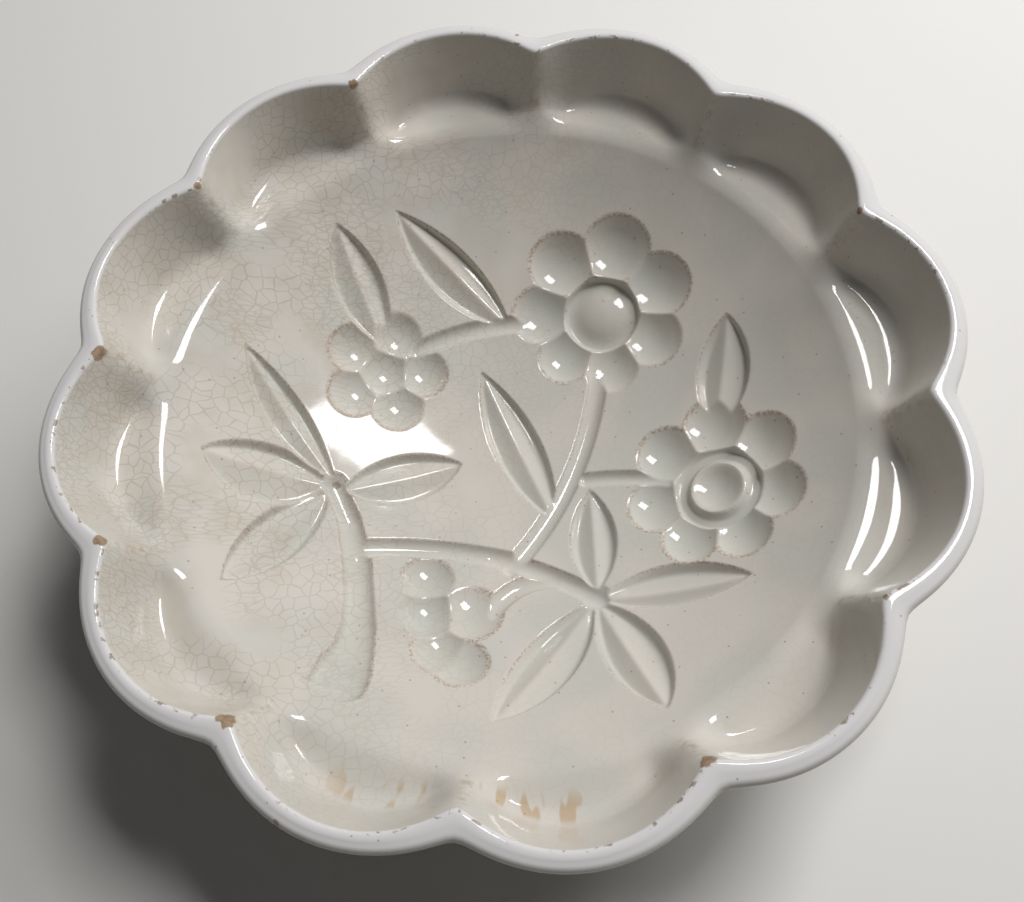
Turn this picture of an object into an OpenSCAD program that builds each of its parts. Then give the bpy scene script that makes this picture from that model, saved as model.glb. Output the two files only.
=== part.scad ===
// Round earthenware baking mould, made in one piece.
// Scalloped flutes stand round a deep bowl, and a flower sprig is sunk into the bowl's floor.
// Z is up, the origin is on the table under the middle of the foot, and lengths are in millimetres.

/* [Overall] */
// Height from the table to the rim
mould_h = 68; // [62:1:76]
// Number of flutes round the wall
flutes = 12; // [11:1:13]
// Thickness of the bowl's floor and of the shell under it
shell_t = 8; // [7:0.5:11]

/* [Rim] */
// Width across the rim, from lobe to opposite lobe
rim_d = 238; // [228:1:250]
// How far the notches between the lobes come in from the lobes
notch_in = 7; // [6:0.5:8.5]
// Thickness of the rim at the middle of a lobe
lobe_wall = 4.7; // [4:0.1:6]
// Thickness of the rim at a ridge between two flutes
ridge_wall = 6.8; // [5.5:0.1:8]
// Rounding of the rim's outer edge
rim_round = 2.2; // [1:0.1:3]

/* [Flutes] */
// Depth of the flutes, from the rim down to the ledge
flute_depth = 21; // [17:1:24]
// Lean of the flute walls out of the upright, inside
flute_draft = 16.5; // [12:0.5:19]
// Rounding at the foot of the flute walls
flute_fillet = 5; // [3:0.5:6]
// Lean of the lobes out of the upright, outside
lobe_draft = 14; // [11:0.5:17]
// Rounding under the lobes, outside
lobe_round = 9; // [6:0.5:10]
// Thickness of the clay under the ledge
ledge_t = 7; // [6:0.5:9]

/* [Bowl] */
// Depth of the bowl, from the ledge down to the middle of the floor
bowl_depth = 36; // [31:1:38]
// Rounding of the bowl's upper edge
bowl_round = 6; // [4:0.5:7]

/* [Foot] */
// Outer diameter of the foot where it stands
foot_d = 104; // [90:1:116]
// Width of the foot's ring
foot_w = 7; // [5:0.5:9]
// How far the foot flares out towards the bowl
foot_flare = 2.5; // [1:0.5:4]
// Rounding of the foot's edges
foot_round = 1.5; // [0.8:0.1:2]

/* [Sprig] */
// Depth of a petal or berry over its radius
berry_dip = 0.4; // [0.3:0.02:0.48]
// Depth of the leaves beside their walls
leaf_depth = 3.2; // [2.4:0.1:3.8]
// Depth of a leaf's midrib under the floor's face
rib_depth = 0.7; // [0.4:0.1:1.2]
// Lean of the leaves' walls out of the upright
leaf_draft = 22; // [12:1:30]
// Depth of the stems over their width
stem_dip = 0.36; // [0.28:0.02:0.42]
// Depth of the ring round a flower's eye
eye_depth = 3.2; // [2.4:0.1:3.8]

/* [Hidden] */
$fn = 96;

half_step = 180 / flutes;
ledge_z = mould_h - flute_depth;

// Hollows reach this far above the faces they are cut into, and joined pieces this far into each other.
air = 4;
join_lap = 2;

// Straight steps that stand for a rounded edge of the flutes, the lobes and the rim
ROUND_STEPS = 3;

// A ring of equal arcs is set by its radius at the tips and at the cusps between them.
function arc_centre(tip, cusp) = (tip ^ 2 - cusp ^ 2) / (2 * (tip - cusp * cos(half_step)));
function cusp_at(centre, r) = centre * cos(half_step) + sqrt(r ^ 2 - (centre * sin(half_step)) ^ 2);

// Neighbouring arcs stop short of each other by an angle, and a round body closes the gap. It blunts each
// cusp by a little.
arc_gap = 0.4;
blunt = 0.8;

// Outside of the rim. Its rounding takes a little off the sharp edge, so the walls start that much wider.
rim_over = rim_round * (tan(45 + lobe_draft / 2) - cos(lobe_draft));
rim_tip_r = rim_d / 2;
notch_r = rim_tip_r - notch_in;
lobe_c = arc_centre(rim_tip_r, notch_r - blunt);
lobe_r = rim_tip_r - lobe_c + rim_over;
lobe_base_z = ledge_z - ledge_t;

// Inside of the rim
flute_tip_r = rim_tip_r - lobe_wall;
ridge_r = notch_r - ridge_wall;
flute_c = arc_centre(flute_tip_r, ridge_r - blunt);
flute_r = flute_tip_r - flute_c;
flute_foot_r = flute_r - flute_depth * tan(flute_draft);
ridge_foot_r = cusp_at(flute_c, flute_foot_r) + blunt;

// The bowl is part of a sphere, rounded over into the ledge at the foot of the ridges. The rounding crosses
// the ledge at a small angle, so its circle tops out a little above it.
ridge_toe = 0.3;
edge_over = 0.3;
edge_r = ridge_foot_r - ridge_toe;
edge_h = bowl_depth + edge_over;
bowl_r = (edge_r ^ 2 + edge_h ^ 2) / (2 * edge_h) - bowl_round;
bowl_z = ledge_z - bowl_depth + bowl_r;
edge_lean = asin(edge_r / (bowl_r + bowl_round));
shell_r = bowl_r + shell_t;

// Outer wall between the lobes, which follows the valleys
valley_drop = ledge_z - lobe_base_z + flute_depth - lobe_round;
valley_foot_r = cusp_at(lobe_c, lobe_r - valley_drop * tan(lobe_draft)) + blunt;
valley_draft = atan((notch_r + rim_over - valley_foot_r) / valley_drop);

// Sprig, in plan: flowers as [centre, radius of the eye, radius of the petal circle, petal radius,
// petals, first petal's bearing]
ROSE = [[34.7, 37.2], 12.2, 20.5, 9.6, 7, 113];
DAISY = [[54.6, -26.1], 13.4, 19.4, 9, 7, 128];
BRAMBLE = [[-34.6, 31.6], 9, 14.4, 8, 5, 141];

// Leaf walls meet this much past the tips, as a share of the length, and its floor is this wide each way.
leaf_reach = 1.04;
leaf_run = 12;

// Eyes: the dome's radius and drop, the cup's radius, depth and drop, and the radius of the lip round it
eye_dome_r = 8.2;
eye_dome_drop = 0.8;
eye_cup_r = 6.8;
eye_cup_drop = 2.9;
eye_ring_r = 9.3;

// Loose berries as [centre, radius]
BERRIES = [
    [[-30.7, -36.5], 7.4],
    [[-32, -47.6], 8.4],
    [[-18.8, -48.8], 8.5],
    [[-30.4, -57.2], 8],
    [[-26.6, -62.4], 8]
];

// Leaves as [base, tip, width left of the midrib, width right of it], seen from above, from base to tip
LEAVES = [
    [[-54.6, 0.4], [-71.5, 37.3], 6.5, 5.4],
    [[-56, -3], [-86.5, 6.7], 10.8, 7.8],
    [[-56, -6.5], [-81, -32], 7.4, 7.3],
    [[-50, -5], [-16, 0.1], 7.2, 8.2],
    [[-36.7, 46], [-40.3, 73.3], 7.4, 5.6],
    [[5, 42], [-21, 76.2], 8.2, 6.6],
    [[7.5, -21.5], [-4.5, 26], 7.4, 7.1],
    [[15.4, -48], [20, -17.5], 6.8, 6.6],
    [[16.5, -51.5], [53.3, -55.2], 8.2, 5],
    [[15, -53.5], [24, -84.9], 8.8, 6.7],
    [[12.5, -53], [-16.9, -79.8], 8, 7.2],
    [[59.3, -4], [69.4, 22.6], 6.3, 7.6]
];

// Stems as [start, end, sideways bow to the left, width]
STEMS = [
    [[-53, -4], [-48.6, -33], 0.6, 6.6],
    [[-50, -20], [-51, -58], 1.6, 7.8],
    [[-50, -24.5], [-6, -34.5], 3, 6],
    [[-12, -32], [15.5, -51.5], 1.8, 6],
    [[-7, -36.5], [29.9, 18], -4.2, 5.8],
    [[19.5, -13], [42, -20], 1.2, 4.6],
    [[-24, 37.5], [18, 39], 3.4, 5.6],
    [[4.5, -42.5], [-14, -49], -3, 6]
];

// Hollows where leaves and stems meet, as [centre, radius]
JOINTS = [[[-53.6, -3.6], 4.6], [[14.6, -50.8], 4.4]];

// The main stem's cut end, as [start, end, start radius, end radius]
BUTT = [[-49.6, -48], [-55.6, -66], 4.6, 8.6];
butt_dip = 3;

// Places in the sprig are given for a bowl whose edge has this radius, and move with the edge.
sprig_edge_r = 96.4;
function placed(p) = p * edge_r / sprig_edge_r;

// Unit vector from the middle of the bowl's sphere to the floor at a place in plan
function down_to(p) = [p.x, p.y, -sqrt(bowl_r ^ 2 - p.x ^ 2 - p.y ^ 2)] / bowl_r;
function floor_dir(p) = down_to(placed(p));
function unit(v) = v / norm(v);

// Turns the frame at the middle of the bowl's sphere so that X runs from p to q and Z points up from the
// floor midway between them.
module along(p, q) {
    z = -unit(floor_dir(p) + floor_dir(q));
    x = unit(floor_dir(q) - floor_dir(p));
    y = cross(z, x);
    translate([0, 0, bowl_z])
        multmatrix([[x.x, y.x, z.x, 0], [x.y, y.y, z.y, 0], [x.z, y.z, z.z, 0]])
            children();
}

// Puts a shape on the floor at p, with Z square to the floor.
module on_floor(p) {
    bearing = atan2(p.y, p.x);
    translate([0, 0, bowl_z])
        rotate([0, 0, bearing])
            rotate([0, -asin(norm(placed(p)) / bowl_r), 0])
                translate([0, 0, -bowl_r])
                    rotate([0, 0, -bearing])
                        children();
}

// Turns a flat section round an arc on the floor from p to q, bowed sideways. Half is the angle from the
// arc's middle to its ends, seen from the sphere's middle. The section's X points to the arc's hollow side.
module sweep_arc(p, q, bow) {
    half = asin(norm(floor_dir(q) - floor_dir(p)) / 2);
    side = bow / bowl_r * 180 / PI;
    tilt = atan2(cos(side) - cos(half), sin(side));
    polar = acos(cos(tilt) * cos(half));
    reach = asin(sin(half) / sin(polar));
    rotate([180 - tilt, 0, 0])
        rotate([0, 0, -90 - reach])
            rotate_extrude(angle = 2 * reach)
                translate(bowl_r * [sin(polar), cos(polar)])
                    rotate(180 - polar)
                        children();
}

// Round-bottomed groove of a given width
module groove(width) {
    dip = width * stem_dip;
    r = (width ^ 2 / 4 + dip ^ 2) / (2 * dip);
    translate([0, r - dip])
        circle(r);
}

module stem(s) {
    along(s[0], s[1])
        sweep_arc(s[0], s[1], s[2])
            groove(s[3]);
}

// Upright wall beside a leaf: an arc on the floor through both tips, bowed out to the width on the Y side
module leaf_wall(half_length, width) {
    r = (half_length ^ 2 + width ^ 2) / (2 * width);
    rise = r * tan(leaf_draft);
    translate([0, width - r, rise - bowl_r])
        sphere(norm([r, rise]));
}

// A leaf lies between two leaning walls. Its floor falls from the midrib to both walls.
module leaf(l) {
    half_length = leaf_reach * norm(floor_dir(l[1]) - floor_dir(l[0])) * bowl_r / 2;
    fall = leaf_depth - rib_depth;
    along(l[0], l[1])
        intersection() {
            leaf_wall(half_length, l[2]);
            mirror([0, 1, 0])
                leaf_wall(half_length, l[3]);
            rotate([90, 0, 0])
                rotate_extrude()
                    polygon([
                        [bowl_r - air, -leaf_run],
                        [bowl_r + rib_depth + fall * leaf_run / l[2], -leaf_run],
                        [bowl_r + rib_depth, 0],
                        [bowl_r + rib_depth + fall * leaf_run / l[3], leaf_run],
                        [bowl_r - air, leaf_run]
                    ]);
        }
}

// Round hollow in a flat face, with a given radius there
module dimple(r) {
    dip = r * berry_dip;
    ball_r = (r ^ 2 + dip ^ 2) / (2 * dip);
    translate([0, 0, ball_r - dip])
        sphere(ball_r);
}

module berry(p, r) {
    on_floor(p)
        dimple(r);
}

module petals(flower) {
    for (i = [0:flower[4] - 1]) {
        bearing = flower[5] - i * 360 / flower[4];
        on_floor(flower[0])
            translate([0, 0, bowl_r])
                rotate([0, 0, bearing])
                    rotate([0, -asin(flower[2] / bowl_r), 0])
                        translate([0, 0, -bowl_r])
                            dimple(flower[3]);
    }
}

// Sunk ring of an eye, with its outer wall leaning out
module eye_ring(r) {
    polygon([
        [0, air],
        [r + air * tan(leaf_draft), air],
        [r - eye_depth * tan(leaf_draft), -eye_depth],
        [0, -eye_depth]
    ]);
}

// Eye with a round dome inside the ring
module domed_eye(flower) {
    rise = eye_depth - eye_dome_drop;
    dome = (eye_dome_r ^ 2 + rise ^ 2) / (2 * rise);
    on_floor(flower[0])
        rotate_extrude()
            difference() {
                eye_ring(flower[1]);
                translate([0, -eye_dome_drop - dome])
                    circle(dome);
                translate([-2 * dome, -2 * dome])
                    square([2 * dome, 4 * dome]);
            }
}

// Eye with a cup inside the ring, and a round lip between them
module cupped_eye(flower) {
    lip = eye_ring_r - eye_cup_r;
    cup = (eye_cup_r ^ 2 + eye_cup_drop ^ 2) / (2 * eye_cup_drop);
    on_floor(flower[0])
        rotate_extrude()
            difference() {
                union() {
                    difference() {
                        eye_ring(flower[1]);
                        translate([0, -2 * eye_depth])
                            square([eye_ring_r, 2 * eye_depth - eye_dome_drop - lip]);
                        translate([eye_ring_r, -eye_dome_drop - lip])
                            circle(lip);
                    }
                    translate([0, cup - eye_cup_drop - eye_dome_drop])
                        circle(cup);
                }
                translate([-2 * cup, -2 * cup])
                    square([2 * cup, 4 * cup]);
            }
}

// Cut end of the main stem, spread like the foot of a pulled-off branch
module butt(b) {
    length = norm(b[1] - b[0]);
    along(b[0], b[1])
        translate([-length / 2, 0, -bowl_r - butt_dip])
            rotate([0, 90 - atan((b[3] - b[2]) / length), 0])
                translate([-b[2], 0, 0])
                    cylinder(h = length, r1 = b[2], r2 = b[3]);
}

module flowers() {
    petals(ROSE);
    domed_eye(ROSE);
    petals(DAISY);
    cupped_eye(DAISY);
    petals(BRAMBLE);
    berry(BRAMBLE[0], BRAMBLE[1]);
    for (b = BERRIES)
        berry(b[0], b[1]);
}

module leaves() {
    for (l = LEAVES)
        leaf(l);
}

module stem_ends() {
    for (j = JOINTS)
        berry(j[0], j[1]);
    butt(BUTT);
}

// Section of a round block that leans out by draft, from the axis to r at the top. Each edge is rounded
// over in straight steps.
module block_section(r, height, draft, top_round, base_round) {
    base = r - height * tan(draft);
    top_c = [r - top_round * tan(45 + draft / 2), height - top_round];
    base_c = [base - base_round * tan(45 - draft / 2), base_round];
    base_step = (90 - draft) / ROUND_STEPS;
    top_step = (90 + draft) / ROUND_STEPS;
    turns = [0:ROUND_STEPS];
    polygon(concat(
        [[0, 0]],
        [for (t = turns) base_c + base_round * [sin(t * base_step), -cos(t * base_step)]],
        [for (t = turns) top_c + top_round * [cos(t * top_step - draft), sin(t * top_step - draft)]],
        [[0, height]]
    ));
}

// Shape repeated round the mould at a radius. Each copy keeps to its own share of the round, outside of
// the inner radius.
module ring_of(radius, inner) {
    half = half_step - arc_gap;
    for (i = [0:flutes - 1])
        rotate([0, 0, i * 360 / flutes])
            intersection() {
                translate([radius, 0, 0])
                    children();
                linear_extrude(mould_h + air)
                    polygon([
                        inner * [1, -tan(half)],
                        rim_d * [1, -tan(half)],
                        rim_d * [1, tan(half)],
                        inner * [1, tan(half)]
                    ]);
            }
}

module lobes() {
    translate([0, 0, lobe_base_z])
        ring_of(lobe_c, lobe_c)
            rotate_extrude()
                block_section(lobe_r, mould_h - lobe_base_z, lobe_draft, rim_round, lobe_round);
}

module foot_section() {
    r = foot_d / 2;
    inner = r - foot_w;
    seat = bowl_z - sqrt(shell_r ^ 2 - r ^ 2) + join_lap;
    polygon([
        [inner + foot_round, 0],
        [r - foot_round, 0],
        [r, foot_round],
        [r + foot_flare, seat],
        [inner, seat],
        [inner, foot_round]
    ]);
    translate([inner + foot_round, foot_round])
        circle(foot_round);
    translate([r - foot_round, foot_round])
        circle(foot_round);
}

// Round shell under the bowl, up to the rim between the lobes, and its foot
module shell() {
    rotate_extrude() {
        intersection() {
            translate([0, bowl_z])
                circle(shell_r);
            block_section(notch_r + rim_over, mould_h, valley_draft, rim_round, 0);
        }
        foot_section();
    }
}

// Bowl with its rounded edge, which ends level with the ledge
module bowl() {
    edge = [edge_r, ledge_z - bowl_round + edge_over];
    join = edge + bowl_round * [-sin(edge_lean), cos(edge_lean)];
    rotate_extrude() {
        intersection() {
            translate([0, bowl_z])
                circle(bowl_r);
            square([edge_r, join.y]);
        }
        difference() {
            translate([0, join.y])
                square([edge_r, ledge_z + join_lap - join.y]);
            translate(edge)
                circle(bowl_round);
        }
    }
}

// The flutes stand round a core that runs down to the ledge along the ridges.
module flute_hollows() {
    depth = flute_depth + air;
    slope = (ridge_r - ridge_foot_r) / flute_depth;
    translate([0, 0, ledge_z]) {
        ring_of(flute_c, flute_c)
            rotate_extrude()
                block_section(flute_r + air * tan(flute_draft), depth, flute_draft, 0, flute_fillet);
        cylinder(h = depth, r1 = ridge_foot_r, r2 = ridge_foot_r + slope * depth);
    }
}

module outside() {
    shell();
    lobes();
}

module plain_mould() {
    difference() {
        outside();
        bowl();
        flute_hollows();
    }
}

// The mould with its first n stems cut into the floor, one after another
module stemmed(n) {
    difference() {
        if (n == 1)
            plain_mould();
        else
            stemmed(n - 1);
        stem(STEMS[n - 1]);
    }
}

module mould() {
    color("ivory")
        difference() {
            difference() {
                difference() {
                    stemmed(len(STEMS));
                    stem_ends();
                }
                leaves();
            }
            flowers();
        }
}

mould();
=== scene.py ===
from math import asin, atan2, cos, pi, radians, sin, sqrt, tan

import bmesh
import bpy
import numpy as np
from mathutils import Matrix, Vector
from mathutils.geometry import delaunay_2d_cdt


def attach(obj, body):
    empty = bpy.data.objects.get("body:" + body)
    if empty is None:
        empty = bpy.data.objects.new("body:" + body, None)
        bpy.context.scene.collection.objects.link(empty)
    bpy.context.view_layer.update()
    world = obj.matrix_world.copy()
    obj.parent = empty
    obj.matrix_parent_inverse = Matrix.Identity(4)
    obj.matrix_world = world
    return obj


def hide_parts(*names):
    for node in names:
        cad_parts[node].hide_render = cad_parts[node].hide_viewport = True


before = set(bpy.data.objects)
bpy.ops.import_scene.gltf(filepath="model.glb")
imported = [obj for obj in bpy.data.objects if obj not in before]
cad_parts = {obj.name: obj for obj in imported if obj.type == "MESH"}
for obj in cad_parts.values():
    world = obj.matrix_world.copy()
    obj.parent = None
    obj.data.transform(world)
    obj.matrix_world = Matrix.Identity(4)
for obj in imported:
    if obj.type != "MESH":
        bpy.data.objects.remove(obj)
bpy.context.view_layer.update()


# Fluted wall, rim, outside and foot.
# The clay was pressed over a plaster form with twelve leaning flutes, trimmed at the rim, and turned
# smooth on a foot ring outside. The same section goes all the way round. Lengths are in millimetres.
FLUTES = 12
HALF_STEP = pi / FLUTES
MOULD_H = 67.9
LEDGE_Z = 47.0
RIM_TIP, RIM_NOTCH = 118.6, 111.7
WALL_TIP, WALL_RIDGE = 114.3, 105.2
FLUTE_LEAN, LOBE_LEAN = radians(16.5), radians(14)
FLUTE_FILLET = 5.0
LOBE_BASE_Z, LOBE_ROUND = 40.0, 9.0
BLUNT = 0.8


def arc_centre(tip, cusp):
    return (tip ** 2 - cusp ** 2) / (2 * (tip - cusp * cos(HALF_STEP)))


def cusp_at(centre, r):
    return centre * cos(HALF_STEP) + sqrt(r ** 2 - (centre * sin(HALF_STEP)) ** 2)


flute_c = arc_centre(WALL_TIP, WALL_RIDGE - BLUNT)
flute_r = WALL_TIP - flute_c
lobe_c = arc_centre(RIM_TIP, RIM_NOTCH - BLUNT)
lobe_r = RIM_TIP - lobe_c
EDGE_ROUND = 6.0
edge_r = cusp_at(flute_c, flute_r - (MOULD_H - LEDGE_Z) * tan(FLUTE_LEAN)) + BLUNT - 0.3
BOWL_DEPTH, SHELL = 36.0, 8.0
bowl_r = (edge_r ** 2 + BOWL_DEPTH ** 2) / (2 * BOWL_DEPTH) - EDGE_ROUND
bowl_z = LEDGE_Z - BOWL_DEPTH + bowl_r
shell_r = bowl_r + SHELL
edge_lean = asin(edge_r / (bowl_r + EDGE_ROUND))
JOIN_R = edge_r - EDGE_ROUND * sin(edge_lean) - 0.4
join_z = bowl_z - sqrt(bowl_r ** 2 - JOIN_R ** 2)

# Rows of the section: radius and height at a lobe's middle, radius and height at a cusp, and the angle over
# which the cusp is softened
rows = []


def row(tip, z, cusp, soft=0.02, cusp_z=None):
    rows.append((tip, z, cusp, z if cusp_z is None else cusp_z, soft))


def flute_row(r, z, soft, cusp_z):
    row(flute_c + r, z, ridge_at(cusp_z), soft, cusp_z)


def lobe_row(r, z, soft=0.03):
    row(lobe_c + r, z, cusp_at(lobe_c, r) + BLUNT, soft)


def steps(n, first=0):
    return [i / n for i in range(first, n + 1)]


def ridge_at(z):
    return cusp_at(flute_c, flute_r - (MOULD_H - z) * tan(FLUTE_LEAN)) + BLUNT


def bowl_at(z):
    return sqrt(bowl_r ** 2 - (bowl_z - z) ** 2)


def foot_of_ridge(t):
    """The bowl's face runs up into the ridge between two flutes in one soft hollow."""
    z = join_z + (RIDGE_FREE - join_z) * t
    gap = ridge_at(z) - bowl_at(z)
    return ridge_at(z) - (gap + sqrt(gap ** 2 + RIDGE_SOFT ** 2)) / 2 * (1 - t ** 4), z


# Up the bowl, over its edge, across the ledge and up the flute's hollow foot
RIDGE_FREE, RIDGE_SOFT = 56.5, 1.0
EDGE_BULGE = 1.0
LEDGE_FOOT_Z = LEDGE_Z + 0.15
tips = [(JOIN_R, join_z)]
for t in steps(7):
    a = edge_lean * (1 - t)
    tips.append((edge_r + EDGE_BULGE * (0.3 + 0.7 * t) - EDGE_ROUND * sin(a),
                 LEDGE_Z + 0.7 - EDGE_ROUND * (1 - cos(a)) - 0.35 * (1 - t)))
wall_foot = flute_r - (MOULD_H - LEDGE_Z) * tan(FLUTE_LEAN)
fillet_x = wall_foot - FLUTE_FILLET * tan(pi / 4 - FLUTE_LEAN / 2)
crest_r, crest_z = tips[-1]
for t in steps(4, 1):
    ledge_r = crest_r + (flute_c + fillet_x - crest_r) * t
    tips.append((ledge_r, crest_z - (crest_z - LEDGE_FOOT_Z) * t * t * (3 - 2 * t)))
for t in steps(8, 1):
    a = (pi / 2 - FLUTE_LEAN) * t
    tips.append((flute_c + fillet_x + FLUTE_FILLET * sin(a), LEDGE_FOOT_Z + FLUTE_FILLET * (1 - cos(a))))
for i, (r, z) in enumerate(tips):
    t = i / (len(tips) - 1)
    cusp, cusp_z = foot_of_ridge(t)
    row(r, z, cusp if i else r, 0.09 - 0.02 * t, cusp_z)

# Up the leaning flute, over the rounded rim and down the outside of the lobe
RIM_IN, RIM_OUT = 0.9, 2.0
RIM_TRIM, RIM_SPLAY, RIM_DROP = 0.2, 0.2, 0.25
wall_top = MOULD_H - RIM_TRIM - RIM_IN
z_foot = z
for t in steps(11, 1):
    z = z_foot + (wall_top - z_foot) * t
    cusp_z = RIDGE_FREE + (wall_top - RIDGE_FREE) * t
    flute_row(flute_r - (MOULD_H - z) * tan(FLUTE_LEAN), z, 0.07 - 0.055 * t, cusp_z)
r_top = flute_r - (MOULD_H - wall_top) * tan(FLUTE_LEAN)
for t in steps(4, 1):
    a = pi / 2 * t
    out = RIM_IN * (1 - cos(a)) + RIM_SPLAY * t
    z = wall_top + RIM_IN * sin(a)
    row(flute_c + r_top + out, z, cusp_at(flute_c, r_top + out) + BLUNT, 0.015)
INNER_EDGE = len(rows) - 3
inner = rows[-1]
rim_x = lobe_r - RIM_OUT
outer = (lobe_c + rim_x, cusp_at(lobe_c, rim_x) + BLUNT)
for t in (0.25, 0.5, 0.75):
    row(inner[0] + (outer[0] - inner[0]) * t, wall_top + RIM_IN + 0.48 * t * (1 - t) - RIM_DROP * t,
        inner[2] + (outer[1] - inner[2]) * t, 0.017)
rim_z = wall_top + RIM_IN - RIM_DROP - RIM_OUT
for t in steps(7):
    a = (pi / 2 + LOBE_LEAN) * t
    lobe_row(rim_x + RIM_OUT * sin(a), rim_z + RIM_OUT * cos(a), 0.022)
r_side, z_side = rim_x + RIM_OUT * cos(LOBE_LEAN), rim_z - RIM_OUT * sin(LOBE_LEAN)
base_z = LOBE_BASE_Z + LOBE_ROUND * (1 - sin(LOBE_LEAN))
base_r = r_side - (z_side - base_z) * tan(LOBE_LEAN)
for t in steps(8, 1):
    z = z_side + (base_z - z_side) * t
    lobe_row(r_side - (z_side - z) * tan(LOBE_LEAN), z, 0.02 + 0.03 * t)
for t in steps(7, 1):
    a = LOBE_LEAN + (pi / 2 - LOBE_LEAN) * t
    r = base_r - LOBE_ROUND * (cos(LOBE_LEAN) - cos(a))
    z = LOBE_BASE_Z + LOBE_ROUND * (1 - sin(a))
    row(lobe_c + r, z, max(cusp_at(lobe_c, r) + BLUNT, sqrt(shell_r ** 2 - (bowl_z - z) ** 2) + 0.6), 0.05)
tip, _, cusp, _, _ = rows[-1]
turn_z = LOBE_BASE_Z - 3.5
turn_r = sqrt(shell_r ** 2 - (bowl_z - turn_z) ** 2)
for t in steps(5, 1):
    pull = 1 - (1 - t) ** 2
    z = LOBE_BASE_Z + (turn_z - LOBE_BASE_Z) * t * t
    row(tip + (turn_r - tip) * pull, z, cusp + (turn_r - cusp) * pull, 0.06)

# Round the shell's underside to the foot ring, and across the recess inside the ring
FOOT_R, FOOT_IN, FOOT_ROUND = 52.0, 45.0, 1.5
foot_top = bowl_z - sqrt(shell_r ** 2 - (FOOT_R + 5) ** 2)


def turned_row(r, z):
    row(r, z, r)


for t in steps(9, 1):
    r = turn_r + (FOOT_R + 6.5 - turn_r) * t
    turned_row(r, bowl_z - sqrt(shell_r ** 2 - r ** 2))
for r, z in ((FOOT_R + 4.2, foot_top - 0.5), (FOOT_R + 2.9, foot_top - 1.9), (FOOT_R + 2.1, foot_top - 4.5),
             (FOOT_R + 1, 5.5), (FOOT_R, FOOT_ROUND)):
    turned_row(r, z)
for t in steps(4, 1):
    a = pi / 2 * t
    turned_row(FOOT_R - FOOT_ROUND * (1 - cos(a)), FOOT_ROUND * (1 - sin(a)))
for t in steps(4):
    a = pi / 2 * (1 - t)
    turned_row(FOOT_IN + FOOT_ROUND * (1 - cos(a)), FOOT_ROUND * (1 - sin(a)))
under = bowl_z - sqrt(shell_r ** 2 - FOOT_IN ** 2)
for r, z in ((FOOT_IN, 5.0), (FOOT_IN - 0.2, under - 2.4), (FOOT_IN - 1.2, under - 1.0)):
    turned_row(r, z)
for t in steps(6, 1):
    r = (FOOT_IN - 3.5) * (1 - t)
    turned_row(r, bowl_z - sqrt(shell_r ** 2 - r ** 2))

section = bpy.data.meshes.new("mould_section")
section.from_pydata([(r[0], 0, r[1]) for r in rows], [(i, i + 1) for i in range(len(rows) - 1)], [])
for name, part in (("cusp", 2), ("cusp_height", 3), ("softness", 4)):
    section.attributes.new(name, "FLOAT", "POINT").data.foreach_set("value", [r[part] for r in rows])


class Value:
    """A socket of a node tree that takes part in Python sums. The bare tree is a value without a socket."""

    def __init__(self, tree, socket=None):
        self.tree, self.socket = tree, socket

    def node(self, kind, settings=None, inputs=None, out=0):
        """Adds a node, gives it its settings and inputs, and returns one of its outputs."""
        n = self.tree.nodes.new(kind)
        for key, value in (settings or {}).items():
            setattr(n, key, value)
        for key, value in (inputs or {}).items():
            if isinstance(value, Value):
                self.tree.links.new(value.socket, n.inputs[key])
            else:
                n.inputs[key].default_value = value
        return Value(self.tree, n.outputs[out] if n.outputs else None)

    def other(self, out):
        """Another output of the same node."""
        return Value(self.tree, self.socket.node.outputs[out])

    def maths(self, operation, *values):
        return self.node("ShaderNodeMath", {"operation": operation}, dict(enumerate(values)))

    def __add__(self, other): return self.maths("ADD", self, other)
    def __radd__(self, other): return self.maths("ADD", other, self)
    def __sub__(self, other): return self.maths("SUBTRACT", self, other)
    def __rsub__(self, other): return self.maths("SUBTRACT", other, self)
    def __mul__(self, other): return self.maths("MULTIPLY", self, other)
    def __rmul__(self, other): return self.maths("MULTIPLY", other, self)
    def __truediv__(self, other): return self.maths("DIVIDE", self, other)
    def __rtruediv__(self, other): return self.maths("DIVIDE", other, self)
    def __pow__(self, other): return self.maths("POWER", self, other)
    def __neg__(self): return self.maths("MULTIPLY", self, -1.0)
    def high(self, other): return self.maths("MAXIMUM", self, other)
    def root(self): return self.maths("SQRT", self)
    def size(self): return self.maths("ABSOLUTE", self)
    def cos(self): return self.maths("COSINE", self)
    def sin(self): return self.maths("SINE", self)

    def between(self, low, high, a=0.0, b=1.0):
        """Goes smoothly from a to b while the value goes from low to high."""
        return self.node("ShaderNodeMapRange", {"interpolation_type": "SMOOTHSTEP"},
                         {"Value": self, "From Min": low, "From Max": high, "To Min": a, "To Max": b})


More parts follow.
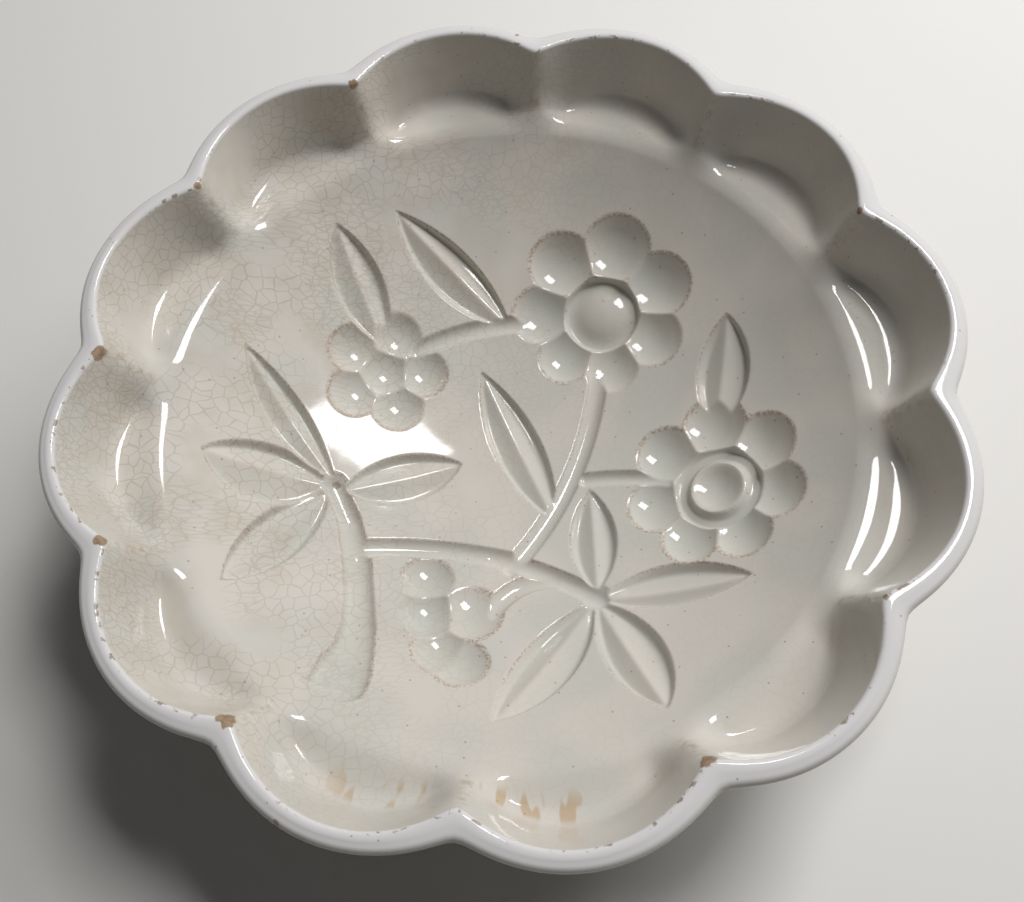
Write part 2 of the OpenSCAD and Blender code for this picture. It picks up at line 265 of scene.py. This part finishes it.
wall_tree = bpy.data.node_groups.new("fluted_wall", "GeometryNodeTree")
face = wall_tree.interface
face.new_socket("Section", in_out="INPUT", socket_type="NodeSocketGeometry")
for name, kind in (("Flutes", "NodeSocketInt"), ("Columns to a flute", "NodeSocketInt"),
                   ("Waver", "NodeSocketFloat"), ("Waver seed", "NodeSocketFloat"),
                   ("Glaze", "NodeSocketMaterial")):
    face.new_socket(name, in_out="INPUT", socket_type=kind)
face.new_socket("Wall", in_out="OUTPUT", socket_type="NodeSocketGeometry")
g = Value(wall_tree)
section_in = g.node("NodeGroupInput")
flutes, columns, waver, seed, glaze_in = [section_in.other(i) for i in range(1, 6)]
count = g.node("GeometryNodeAttributeDomainSize", None, {"Geometry": section_in})
sheet = g.node("GeometryNodeMeshGrid", None,
               {"Size X": 1.0, "Size Y": 1.0, "Vertices X": flutes * columns + 1, "Vertices Y": count})
column = g.maths("FLOOR", (g.node("GeometryNodeInputIndex") + 0.5) / count)
station = g.node("GeometryNodeInputIndex") - column * count


def on_section(kind, value):
    return g.node("GeometryNodeSampleIndex", {"data_type": kind, "domain": "POINT"},
                  {"Geometry": section_in, "Value": value, "Index": station})


def section_value(name):
    kept = g.node("GeometryNodeInputNamedAttribute", {"data_type": "FLOAT"}, {"Name": name})
    return on_section("FLOAT", kept)


on_tip = on_section("FLOAT_VECTOR", g.node("GeometryNodeInputPosition"))
tip = g.node("ShaderNodeSeparateXYZ", None, {0: on_tip})
tip_height = tip.other(2)
cusp, cusp_height, soft = [section_value(name) for name in ("cusp", "cusp_height", "softness")]
half = pi / flutes
bearing = column / columns * half * 2
from_cusp = half - g.maths("WRAP", bearing, half, -half).size()
rounded = (from_cusp * from_cusp + soft * soft).root() - soft + soft * from_cusp / half
aside = half - rounded
centre = (tip * tip - cusp * cusp) / (2 * (tip - cusp * half.cos()))
reach = centre * aside.cos() + ((tip - centre) ** 2 - (centre * aside.sin()) ** 2).high(0).root()
height = tip_height + (cusp_height - tip_height) * (from_cusp / half).between(0.0, 0.4, 1.0, 0.0)
even = g.node("ShaderNodeCombineXYZ", None, {0: reach * bearing.cos(), 1: reach * bearing.sin(), 2: height})
shake = g.node("ShaderNodeTexNoise", {"noise_dimensions": "4D"},
               {"Vector": even, "W": seed, "Scale": 0.022, "Detail": 1.0}, 1)
centred = g.node("ShaderNodeVectorMath", {"operation": "SUBTRACT"}, {0: shake, 1: (0.5, 0.5, 0.5)})
level = g.node("ShaderNodeVectorMath", {"operation": "MULTIPLY"}, {0: centred, 1: (1.0, 1.0, 0.3)})
amount = waver * tip.between(JOIN_R, JOIN_R + 8) * height.between(0, 20)
moved = g.node("ShaderNodeVectorMath", {"operation": "SCALE"}, {0: level, "Scale": amount})
where = g.node("ShaderNodeVectorMath", {"operation": "ADD"}, {0: even, 1: moved})
shaped = g.node("GeometryNodeSetPosition", None, {"Geometry": sheet, "Position": where})
marked = g.node("GeometryNodeStoreNamedAttribute", {"data_type": "FLOAT", "domain": "POINT"},
                {"Geometry": shaped, "Name": "station", "Value": station})
merged = g.node("GeometryNodeMergeByDistance", None, {"Geometry": marked, "Distance": 0.001})
whole = g.node("GeometryNodeRealizeInstances", None, {"Geometry": merged})
dressed = g.node("GeometryNodeSetMaterial", None, {"Geometry": whole, "Material": glaze_in})
g.node("NodeGroupOutput", None, {0: dressed})

glaze = bpy.data.materials.new("crazed_ivory_glaze")
COLUMNS = 34
WAVER, WAVER_SEED = 0.7, 3.0
builder = bpy.data.objects.new("wall_builder", section)
bpy.context.scene.collection.objects.link(builder)
shape = builder.modifiers.new("fluted wall", "NODES")
shape.node_group = wall_tree
for item in face.items_tree:
    if item.in_out == "INPUT" and item.name != "Section":
        shape[item.identifier] = {"Flutes": FLUTES, "Columns to a flute": COLUMNS, "Waver": WAVER,
                                  "Waver seed": WAVER_SEED, "Glaze": glaze}[item.name]
bpy.context.view_layer.update()
wall = bpy.data.meshes.new_from_object(builder.evaluated_get(bpy.context.evaluated_depsgraph_get()))
bpy.data.objects.remove(builder)


# Bowl floor with the sunk flower sprig.
# The sprig was cut into the plaster form's crown the other way up, so the clay took it as hollows. The
# glaze rounds every edge a little and lies thicker in the hollows.
def floor_dirs(p):
    p = np.asarray(p, float)
    x, y = p[..., 0], p[..., 1]
    return np.stack([x, y, -np.sqrt(bowl_r ** 2 - x ** 2 - y ** 2)], -1) / bowl_r


def unit(v):
    return v / np.linalg.norm(v)


def local_axes(p, q):
    """Axes at the middle of the bowl's sphere: X runs from p to q, and Z points up between them."""
    a, b = floor_dirs(p), floor_dirs(q)
    z = -unit(a + b)
    x = unit(b - a)
    return np.array([x, np.cross(z, x), z])


def smooth_high(a, b, k):
    h = np.maximum(k - np.abs(a - b), 0) / k
    return np.maximum(a, b) + h * h * k / 4


def smooth_low(a, b, k):
    return -smooth_high(-a, -b, k)


OUTSIDE = -9.0


def ball_depth(u, centre, r):
    """How far below the floor's face a sphere reaches, looking out from the middle of the bowl's sphere."""
    b = u @ centre
    disc = r ** 2 - centre @ centre + b ** 2
    return np.where(disc > 0, b + np.sqrt(np.maximum(disc, 0)) - bowl_r, OUTSIDE)


BERRY_DIP = 0.4


def berry(u, p, r, dip=BERRY_DIP):
    d = r * dip
    ball = (r ** 2 + d ** 2) / (2 * d)
    return ball_depth(u, floor_dirs(p) * (bowl_r + d - ball), ball)


def around(p, radius, bearing):
    """The place on the floor at a radius and bearing from p, measured over the sphere."""
    turn = atan2(p[1], p[0])
    tilt = -asin(sqrt(p[0] ** 2 + p[1] ** 2) / bowl_r)
    small = radius / bowl_r
    v = np.array([sin(small) * cos(bearing - turn), sin(small) * sin(bearing - turn), -cos(small)])
    c, s = cos(tilt), sin(tilt)
    v = np.array([c * v[0] + s * v[2], v[1], -s * v[0] + c * v[2]])
    c, s = cos(turn), sin(turn)
    v = np.array([c * v[0] - s * v[1], s * v[0] + c * v[1], v[2]])
    return v[:2] * bowl_r


LEAF_LEAN = radians(22)


def leaf(u, base, tip, left, right, depth=3.2, rib=0.8):
    """Two hollow halves with a raised midrib between them, inside a pointed outline."""
    w = u @ local_axes(base, tip).T
    half_len = 1.04 * np.linalg.norm(floor_dirs(tip) - floor_dirs(base)) * bowl_r / 2
    walls = []
    for side, width in ((1, left), (-1, right)):
        r = (half_len ** 2 + width ** 2) / (2 * width)
        rise = r * tan(LEAF_LEAN)
        middle = np.array([0, side * (width - r), rise - bowl_r])
        walls.append(ball_depth(w, middle, sqrt(r ** 2 + rise ** 2)))
    y = w[:, 1] * bowl_r
    out = np.clip((np.sqrt(y ** 2 + 0.6 ** 2) - 0.6) / np.where(y > 0, left, right), 0, 1)
    halves = rib + (depth - rib) * out * (1.75 - 0.75 * out)
    return smooth_low(smooth_low(walls[0], walls[1], 1.0), halves, 1.5)


def groove(u, start, end, r1, r2, deep1, deep2):
    """A round-bottomed groove whose half width and depth change evenly from one end to the other."""
    w = u @ local_axes(start, end).T * bowl_r
    length = np.linalg.norm(floor_dirs(end) - floor_dirs(start)) * bowl_r
    t = np.clip(w[:, 0] / length + 0.5, 0, 1)
    r = r1 + (r2 - r1) * t
    s2 = w[:, 1] ** 2 + (w[:, 0] - (t - 0.5) * length) ** 2
    across = s2 / r ** 2
    return (deep1 + (deep2 - deep1) * t) * (np.sqrt(np.maximum(1 - across, 0)) - np.maximum(across - 1, 0))


def stem(u, start, end, bow, width, dip=0.36):
    """A groove of one width along a bowed line over the sphere."""
    w = u @ local_axes(start, end).T
    half = asin(np.linalg.norm(floor_dirs(end) - floor_dirs(start)) / 2)
    side = bow / bowl_r
    tilt = atan2(cos(side) - cos(half), sin(side)) if bow else pi / 2
    polar = np.arccos(cos(tilt) * cos(half))
    reach = asin(sin(half) / sin(polar))
    c, s = cos(pi - tilt), sin(pi - tilt)
    back = np.stack([w[:, 0], c * w[:, 1] + s * w[:, 2], -s * w[:, 1] + c * w[:, 2]], -1)
    off = (np.arccos(np.clip(back[:, 2], -1, 1)) - polar) * bowl_r
    past = np.abs((np.arctan2(back[:, 1], back[:, 0]) + pi / 2 + pi) % (2 * pi) - pi) - reach
    past = np.maximum(past, 0) * sin(polar) * bowl_r
    d = width * dip
    r = (width ** 2 / 4 + d ** 2) / (2 * d)
    s2 = off ** 2 + past ** 2
    return np.where(s2 < r * r, np.sqrt(np.maximum(r * r - s2, 0)) - (r - d), OUTSIDE)


def spot_distance(u, p):
    return np.arccos(np.clip(u @ floor_dirs(p), -1, 1)) * bowl_r


EYE_DEPTH = 3.2


def domed_eye(u, p, r, dome_r=8.2, drop=0.8):
    s = spot_distance(u, p)
    rise = EYE_DEPTH - drop
    dome = (dome_r ** 2 + rise ** 2) / (2 * rise)
    top = drop + dome - np.sqrt(np.maximum(dome ** 2 - s ** 2, 0))
    floor = smooth_low(np.full_like(s, EYE_DEPTH), top, 1.0)
    return smooth_low((r - s) / tan(LEAF_LEAN), floor, 1.3)


def cupped_eye(u, p, r, cup_r=6.8, cup_dip=2.7, drop=0.9, lip=1.9):
    s = spot_distance(u, p)
    ball = (cup_r ** 2 + cup_dip ** 2) / (2 * cup_dip)
    cup = drop + cup_dip - ball + np.sqrt(np.maximum(ball ** 2 - s ** 2, 0))
    crest = cup_r + lip * 0.55
    ring = drop + np.clip(s - crest, 0, 9) * 1.9
    ring = smooth_low(ring, np.full_like(s, EYE_DEPTH), 1.2)
    inside = smooth_high(np.where(s < ball * 0.98, cup, OUTSIDE), np.where(s < crest, drop, ring), 1.1)
    return smooth_low((r - s) / tan(LEAF_LEAN), inside, 1.3)


def cut_end(u, place, towards, long, short, deep, rise):
    """The branch's slanting oval cut: deepest where the branch meets it."""
    w = u @ local_axes(place, towards).T * bowl_r
    x = w[:, 0] + np.linalg.norm(floor_dirs(towards) - floor_dirs(place)) * bowl_r / 2
    oval = 1 - np.sqrt((w[:, 1] / long) ** 2 + (x / short) ** 2)
    return smooth_low(oval * 7, rise + (x + short) / (2 * short) * (deep - rise), 0.8)


# Flowers: centre, eye radius, radius of the petals' circle, petal radius, number of petals, bearing of the
# first, share by which those on one side are larger, and bearing of that side
ROSE = ((34.7, 37.5), 12.1, 18.9, 9.1, 7, 114, 0.11, 72)
DAISY = ((54.4, -26.4), 13.2, 17.6, 8.5, 7, 128, 0.06, 90)
BRAMBLE = ((-34.6, 32.0), 8.4, 11.5, 7.8, 5, 137, 0.0, 0)
# Loose berries: place, radius, and depth as a share of the radius
BERRIES = (((-30.8, -36.2), 7.3, 0.38), ((-31.8, -47.0), 8.0, 0.5), ((-20.0, -48.8), 8.3, 0.34),
           ((-29.6, -58.4), 7.5, 0.45), ((-24.8, -62.8), 7.6, 0.36))
# Leaves: base, tip, and half width on the left and on the right
LEAVES = (
    ((-54.6, 0.4), (-71.5, 37.3), 6.5, 5.4),
    ((-56, -3), (-84.9, 6.5), 10.8, 7.8),
    ((-56, -6.5), (-81, -32), 7.4, 7.3),
    ((-50, -5), (-17.2, -0.2), 7.2, 8.2),
    ((-33.5, 41), (-40.6, 73.6), 7.9, 7.4),
    ((5, 42), (-21, 76.2), 8.2, 6.6),
    ((7.5, -21.5), (-4.5, 26), 7.4, 7.1),
    ((15.4, -48), (20, -17.5), 6.8, 6.6),
    ((16.5, -51.5), (53.3, -55.2), 8.2, 5),
    ((15, -53.5), (24, -84.9), 8.8, 6.7),
    ((12.5, -53), (-16.9, -79.8), 8, 7.2),
    ((58.6, -8), (69.2, 22.8), 7.3, 8.2),
)
# Stems: start, end, how far the middle bows aside, and width
STEMS = (
    ((-50, -24.5), (-6, -34.5), 3, 6),
    ((-12, -32), (15.5, -51.5), 1.8, 6),
    ((-7, -36.5), (29.9, 18), -4.2, 5.8),
    ((19.5, -13), (42, -20), 1.2, 4.6),
    ((-24, 37.5), (18, 39), 3.4, 5.6),
    ((4.5, -42.5), (-14, -49), -3, 6),
)
# Hollows where leaves and stems meet
JOINTS = (((-53.6, -3.6), 4.2), ((14.6, -50.8), 4.2))
# The branch, from its fork down to the cut: place, half width, depth
BRANCH = (((-53.4, -4), 3.0, 2.4), ((-50.4, -15), 3.4, 2.6), ((-49.2, -28), 4.0, 2.8),
          ((-49.4, -40), 4.1, 2.8), ((-49.8, -48), 4.5, 2.9), ((-51.2, -55.3), 5.3, 2.9),
          ((-53.2, -60.5), 6.6, 2.9), ((-54.6, -63.4), 7.2, 2.7))
# The cut end: place, where it meets the branch, half length, half width, depth there and at the far side
CUT = ((-56.2, -65.8), (-53.2, -56.5), 7.6, 3.4, 2.7, 0.7)
GLAZE_ROUND = 0.6


def sprig_depths(p):
    """Depth of every hollow of the sprig at places in plan, below zero outside it."""
    u = floor_dirs(p)
    depths = [leaf(u, *l) for l in LEAVES]
    depths += [stem(u, *s) for s in STEMS]
    depths += [groove(u, a[0], b[0], a[1], b[1], a[2], b[2]) for a, b in zip(BRANCH, BRANCH[1:])]
    depths += [berry(u, *b) for b in BERRIES + JOINTS]
    for place, _, ring, r, petals, first, more, side in (ROSE, DAISY, BRAMBLE):
        for i in range(petals):
            bearing = radians(first - i * 360 / petals)
            swell = 1 + more * cos(bearing - radians(side))
            depths.append(berry(u, around(place, ring * swell, bearing), r * swell))
    depths.append(domed_eye(u, ROSE[0], ROSE[1]))
    depths.append(cupped_eye(u, DAISY[0], DAISY[1]))
    depths.append(berry(u, BRAMBLE[0], BRAMBLE[1], 0.47))
    depths.append(cut_end(u, *CUT))
    return depths


def sprig(p):
    """Depth of the sprig and nearness of its outline, at places in plan."""
    deep = np.full(len(p), OUTSIDE)
    for d in sprig_depths(p):
        deep = smooth_high(deep, d, GLAZE_ROUND)
    return smooth_high(deep, np.zeros(len(p)), GLAZE_ROUND), deep


# The floor's points lie on nested square grids, finer wherever a straight facet would miss the form.
FINE = 0.42
LEVELS = 4
SHARP = 0.02
n = 2 * int(JOIN_R / FINE / 2 ** LEVELS + 1) * 2 ** LEVELS
ticks = (np.arange(n + 1) - n / 2) * FINE
gx, gy = np.meshgrid(ticks, ticks, indexing="ij")
grid = np.stack([gx.ravel(), gy.ravel()], -1)
within = np.hypot(grid[:, 0], grid[:, 1]) < JOIN_R + 2
depth = np.zeros(len(grid))
depth[within] = sprig(grid[within])[0]
depth = depth.reshape(n + 1, n + 1)
keep = np.zeros_like(depth, bool)
keep[::2 ** LEVELS, ::2 ** LEVELS] = True
for level in range(LEVELS - 1, -1, -1):
    s = 2 ** level
    d = depth[::s, ::s]
    miss = np.zeros_like(d)
    miss[1:-1] = np.maximum(miss[1:-1], np.abs(d[1:-1] - (d[:-2] + d[2:]) / 2))
    miss[:, 1:-1] = np.maximum(miss[:, 1:-1], np.abs(d[:, 1:-1] - (d[:, :-2] + d[:, 2:]) / 2))
    near = miss > SHARP
    for shift in ((1, 0), (-1, 0), (0, 1), (0, -1), (1, 1), (-1, -1), (1, -1), (-1, 1)):
        near |= np.roll(miss > SHARP, shift, (0, 1))
    keep[::s, ::s] |= near
keep &= np.hypot(gx, gy) < JOIN_R - 1.3
ring = np.arange(FLUTES * COLUMNS) * 2 * pi / (FLUTES * COLUMNS)
points = np.concatenate([np.stack([np.cos(ring), np.sin(ring)], -1) * JOIN_R,
                         np.stack([gx[keep], gy[keep]], -1)])
flat_verts, _, triangles, *_ = delaunay_2d_cdt([Vector(p) for p in points], [], [], 0, 1e-6)
plan = np.array([v[:] for v in flat_verts])
depth, edge = sprig(plan)
out = floor_dirs(plan)
spots = out * (bowl_r + depth)[:, None] + np.array([0, 0, bowl_z])


# Wall and floor joined.
# Both are one piece of clay under one glaze, so their meshes meet at a ring of shared points and make one
# closed skin. It carries how deep each place lies and how near the sprig's outline is, for the glaze.
OUTLINE_FADE = 0.9
wall_points = np.zeros(len(wall.vertices) * 3)
wall.vertices.foreach_get("co", wall_points)
wall_points = wall_points.reshape(-1, 3)
stations = np.zeros(len(wall_points))
wall.attributes["station"].data.foreach_get("value", stations)


def ring_place(p):
    return round(atan2(p[1], p[0]) / (2 * pi) * FLUTES * COLUMNS) % (FLUTES * COLUMNS)


ring_index = {ring_place(wall_points[i]): int(i) for i in np.nonzero(stations < 0.5)[0]}
start = len(wall_points)
renumber = np.arange(len(spots)) + start
for i in np.nonzero(np.abs(np.hypot(plan[:, 0], plan[:, 1]) - JOIN_R) < 0.01)[0]:
    renumber[i] = ring_index[ring_place(plan[i])]
faces = [list(p.vertices) for p in wall.polygons] + [[int(renumber[v]) for v in t] for t in triangles]
mesh = bpy.data.meshes.new("mould")
mesh.from_pydata((np.concatenate([wall_points, spots]) / 1000).tolist(), [], faces)
for name, on_wall, on_floor in (("station", stations, np.zeros(len(spots))),
                                ("sink", np.zeros(start), depth / EYE_DEPTH),
                                ("outline", np.zeros(start), np.exp(-(edge / OUTLINE_FADE) ** 2))):
    values = np.concatenate([on_wall, on_floor])
    mesh.attributes.new(name, "FLOAT", "POINT").data.foreach_set("value", values)
solid = bmesh.new()
solid.from_mesh(mesh)
bmesh.ops.delete(solid, geom=[v for v in solid.verts if not v.link_faces], context="VERTS")
bmesh.ops.recalc_face_normals(solid, faces=solid.faces)
solid.to_mesh(mesh)
solid.free()
mesh.shade_smooth()
mesh.materials.append(glaze)
mould = bpy.data.objects.new("glazed_mould", mesh)
bpy.context.scene.collection.objects.link(mould)
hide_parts("mould")
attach(mould, "root")


# Glaze.
# A soft lead glaze, dipped over buff clay: thin and white on the rim, whose cool white is partly a painted
# sky reflection, and a little green where it pooled. With age it crazed, most of all on the left, and sauce
# settled in the cracks, the hollows and the bare chips.
glaze.use_nodes = True
glaze.node_tree.nodes.clear()
m = Value(glaze.node_tree)
spot = m.node("ShaderNodeVectorMath", {"operation": "SCALE"},
              {0: m.node("ShaderNodeTexCoord", None, None, 3), "Scale": 1000.0})
x = m.node("ShaderNodeSeparateXYZ", None, {0: spot})
y, z = x.other(1), x.other(2)
out_from_axis = (x * x + y * y).root()
bearing = m.maths("ARCTAN2", y, x)


def painted(name):
    return m.node("ShaderNodeAttribute", {"attribute_name": name}, None, 2)


def noise(scale, detail=1.0, out=0, at=spot):
    return m.node("ShaderNodeTexNoise", None, {"Vector": at, "Scale": scale, "Detail": detail}, out)


def blend(first, second, amount):
    return m.node("ShaderNodeMix", {"data_type": "RGBA"}, {0: amount, 6: first, 7: second}, 2)


# Places over the plan, drawn out up the steep wall so that the net of cracks keeps its size there
spread = 1 + (z - LEDGE_Z).high(0.0) * 0.007
plan = m.node("ShaderNodeVectorMath", {"operation": "SCALE"}, {0: spot, "Scale": spread})
shifts = noise(0.16, 1.0, 1)
areas = m.node("ShaderNodeSeparateColor", None, {0: noise(0.045, 0.0, 1)})


def cracks(cell, width, turn=0.0, drawn_out=1.0):
    """A net of fine wandering cracks, one where a crack runs and nought between them."""
    wander = m.node("ShaderNodeVectorMath", {"operation": "SCALE"}, {0: shifts, "Scale": cell * 1.1})
    place = m.node("ShaderNodeVectorMath", {"operation": "ADD"}, {0: plan, 1: wander})
    turned = m.node("ShaderNodeMapping", None, {0: place, 2: (0, 0, turn), 3: (1 / drawn_out, 1, 1)})
    edge = m.node("ShaderNodeTexVoronoi", {"feature": "DISTANCE_TO_EDGE", "voronoi_dimensions": "2D"},
                  {"Vector": turned, "Scale": 1 / cell})
    return (edge * cell).between(width * 0.35, width, 1.0, 0.0)


grain = noise(0.5, 3.0)


def dab(cx, cy, cz, size):
    """A ragged spot on the surface."""
    away = ((x - cx) ** 2 + (y - cy) ** 2 + (z - cz) ** 2).root()
    return (away + (grain - 0.5) * (size * 1.6)).between(size * 0.8, size * 1.05, 1.0, 0.0)


station, sink, outline = painted("station"), painted("sink"), painted("outline")
on_left = (y * 0.42 - x * 0.9).between(-35.0, 75.0)
mottled = noise(0.09, 2.0)

# Body colour, from place to place
ivory, sage = (0.63, 0.59, 0.53, 1), (0.56, 0.55, 0.50, 1)
straw, pooled, rim_white_and_sheen = (0.55, 0.485, 0.41, 1), (0.53, 0.535, 0.475, 1), (0.72, 0.70, 0.69, 1)
colour = blend(ivory, sage, areas.between(0.42, 0.62) * 0.7)
colour = blend(colour, straw, on_left * mottled.between(0.4, 0.68) * 0.55)
colour = blend(colour, pooled, sink.between(0.1, 1.0) * 0.5)
# The rim's cool white is partly its thin glaze and partly painted sky reflection and light on its top
on_rim = z.between(66.4, 67.5)
colour = blend(colour, rim_white_and_sheen, on_rim)

# Crazing: a wide net, and long hair cracks side by side
WIDE_CELL, WIDE_CRACK = 3.3, 0.24
HAIR_CELL, HAIR_CRACK, HAIR_TURN, HAIR_STRETCH = 1.5, 0.17, radians(58), 3.6
wide = cracks(WIDE_CELL, WIDE_CRACK) * areas.other(1).between(0.34, 0.5)
hair = cracks(HAIR_CELL, HAIR_CRACK, HAIR_TURN, HAIR_STRETCH) * areas.other(2).between(0.46, 0.6)
crazed = (wide * 0.8).high(hair * 0.6) * (on_left * 0.8 + 0.2) * (1 - on_rim)
colour = blend(colour, (0.34, 0.27, 0.2, 1), crazed * 0.42)

# Brown that settled along the sprig's outlines, in the creases and at the feet of the ridges
speckle = noise(1.3, 2.0)
settled = outline.between(0.35, 1.0) * speckle.between(0.4, 0.62)
settled = settled * areas.other(1).between(0.45, 0.7, 1.0, 0.2)
colour = blend(colour, (0.32, 0.21, 0.125, 1), settled * 0.72)
half_step = m.maths("WRAP", bearing, 2 * HALF_STEP, 0.0) - HALF_STEP
ridge_line = half_step.size().between(0.0, 0.03, 1.0, 0.0) * z.between(48.0, 52.0)
ridge_line = ridge_line * z.between(60.0, 67.0, 1.0, 0.4) * (1 - on_rim)
colour = blend(colour, (0.36, 0.27, 0.17, 1), ridge_line * grain.between(0.42, 0.7) * 0.5)

# Caramel baked on in the feet of three flutes at the front
up_wall = m.node("ShaderNodeCombineXYZ", None, {0: bearing * 26.0, 1: out_from_axis * 0.09, 2: 0.0})
streaks = noise(1.0, 1.0, 0, up_wall)
at_front = bearing.between(radians(-126), radians(-118))
at_front = at_front * bearing.between(radians(-92), radians(-86), 1.0, 0.0)
in_hollow_foot = station.between(9.0, 12.0) * station.between(15.0, 19.0, 1.0, 0.0)
baked = at_front * in_hollow_foot * streaks.between(0.54, 0.62)
colour = blend(colour, (0.50, 0.37, 0.235, 1), baked * 0.8)

# Specks on the rim's inner edge, pinholes, and spots of sauce
edge_specks = (station - INNER_EDGE).size().between(0.8, 1.8, 1.0, 0.0) * grain.between(0.55, 0.62)
edge_specks = edge_specks * areas.between(0.4, 0.55)
PINHOLES_A_MM = 0.16
cells = m.node("ShaderNodeTexVoronoi", {"feature": "F1", "voronoi_dimensions": "2D"},
               {"Vector": plan, "Scale": PINHOLES_A_MM})
chosen = m.node("ShaderNodeSeparateColor", None, {0: cells.other(1)})
pinholes = (cells / PINHOLES_A_MM).between(0.16, 0.34, 1.0, 0.0) * chosen.between(0.72, 0.78)
specks = edge_specks.high(pinholes * 0.8)
for cx, cy, cz, size in ((-52.6, -36.6, 22.5, 0.8), (-52.5, -40.5, 23.5, 0.6), (-79.6, 11.5, 34.0, 0.7),
                         (-53.5, -3.0, 19.0, 1.2), (23.2, 109.0, 67.5, 0.8), (-65.5, -97.6, 66.8, 0.8)):
    specks = specks.high(dab(cx, cy, cz, size) * 0.8)
colour = blend(colour, (0.23, 0.15, 0.095, 1), specks * 0.75)

# Chips at the rim's inner cusps, down to the buff clay, and the bare foot ring
chips = dab(-27.0, 101.6, 67.3, 1.7)
for cx, cy, cz, size in ((-102.3, 25.6, 67.3, 2.2), (-102.4, -26.6, 67.2, 1.7), (-74.4, -73.6, 66.9, 2.6),
                         (-77.0, -71.0, 67.2, 1.6), (27.0, -100.6, 66.4, 2.6), (30.2, -99.8, 66.9, 1.4),
                         (100.6, 27.5, 67.2, 1.3), (74.4, -73.9, 67.4, 0.9), (-74.1, 74.2, 67.4, 1.3)):
    chips = chips.high(dab(cx, cy, cz, size))
clay = blend((0.36, 0.255, 0.17, 1), (0.27, 0.185, 0.12, 1), grain.between(0.4, 0.6))
colour = blend(colour, clay, chips)
bare_foot = z.between(0.8, 1.6, 1.0, 0.0)
colour = blend(colour, (0.50, 0.39, 0.28, 1), bare_foot)

rough = 0.05 + mottled * 0.03 + crazed * 0.12 + settled * 0.3 + specks * 0.3
rough = rough.high(chips * 0.8).high(bare_foot * 0.85)
relief = m.node("ShaderNodeBump", None,
                {"Height": noise(0.05, 0.0) * 0.5, "Distance": 0.001, "Strength": 1.0})
shader = m.node("ShaderNodeBsdfPrincipled", None,
                {"Base Color": colour, "Roughness": rough, "IOR": 1.5, "Normal": relief})
m.node("ShaderNodeOutputMaterial", None, {"Surface": shader})


# Pale floor.
# A plain matt board that the mould stands on, painted pale. It is far wider than the view, so that its edge
# stays far from the mould in every view.
table = bpy.data.meshes.new("table")
SPREAD = 3.0
table.from_pydata([(-SPREAD, -SPREAD, 0), (SPREAD, -SPREAD, 0), (SPREAD, SPREAD, 0), (-SPREAD, SPREAD, 0)],
                  [], [(0, 1, 2, 3)])
table_top = bpy.data.objects.new("table_top", table)
bpy.context.scene.collection.objects.link(table_top)
pale = bpy.data.materials.new("pale_board")
pale.use_nodes = True
board = pale.node_tree.nodes["Principled BSDF"]
board.inputs["Base Color"].default_value = (0.78, 0.76, 0.73, 1)
board.inputs["Roughness"].default_value = 0.7
table.materials.append(pale)


# Light, backdrop and camera.
# A small window high on the right gives the sharp glints, and the broad sky below it the soft light. The
# camera stands over the near rim and looks down, as the photographer did.
def lamp(name, azimuth, elevation, distance, width, height, watts, tint=(1, 1, 1)):
    data = bpy.data.lights.new(name, "AREA")
    data.shape, data.size, data.size_y = "RECTANGLE", width, height
    data.energy, data.color = watts, tint
    o = bpy.data.objects.new(name, data)
    a, e = radians(azimuth), radians(elevation)
    o.location = Vector((cos(e) * cos(a), cos(e) * sin(a), sin(e))) * distance
    o.rotation_euler = o.location.to_track_quat("Z", "Y").to_euler()
    bpy.context.scene.collection.objects.link(o)
    return o


lamp("window", 38, 62, 1.1, 0.38, 0.28, 6.5)
sky = lamp("sky", 32, 40, 1.3, 0.8, 0.5, 9, (0.97, 0.98, 1))
sky.visible_glossy = False
world = bpy.data.worlds.new("room")
bpy.context.scene.world = world
world.use_nodes = True
world.node_tree.nodes.clear()
# A dim room lights the mould, and the camera sees a pale backdrop in its place
w = Value(world.node_tree)
dim_room = w.node("ShaderNodeBackground", None, {"Color": (0.97, 0.98, 1, 1), "Strength": 0.06})
pale_backdrop = w.node("ShaderNodeBackground", None, {"Color": (0.97, 0.98, 1, 1), "Strength": 0.62})
seen = w.node("ShaderNodeLightPath")
room = w.node("ShaderNodeMixShader", None, {0: seen, 1: dim_room, 2: pale_backdrop})
w.node("ShaderNodeOutputWorld", None, {"Surface": room})

# The camera's place comes from the twelve cusps of the rim
camera = bpy.data.cameras.new("camera")
camera.lens, camera.sensor_width = 34.476, 36
view = bpy.data.objects.new("camera", camera)
view.matrix_world = Matrix(((0.98349, 0.18005, -0.01797, -0.00573), (-0.17227, 0.90136, -0.39734, -0.11771),
                            (-0.05535, 0.39387, 0.9175, 0.28606), (0, 0, 0, 1)))
bpy.context.scene.collection.objects.link(view)
bpy.context.scene.camera = view
bpy.context.scene.view_settings.view_transform = "Standard"
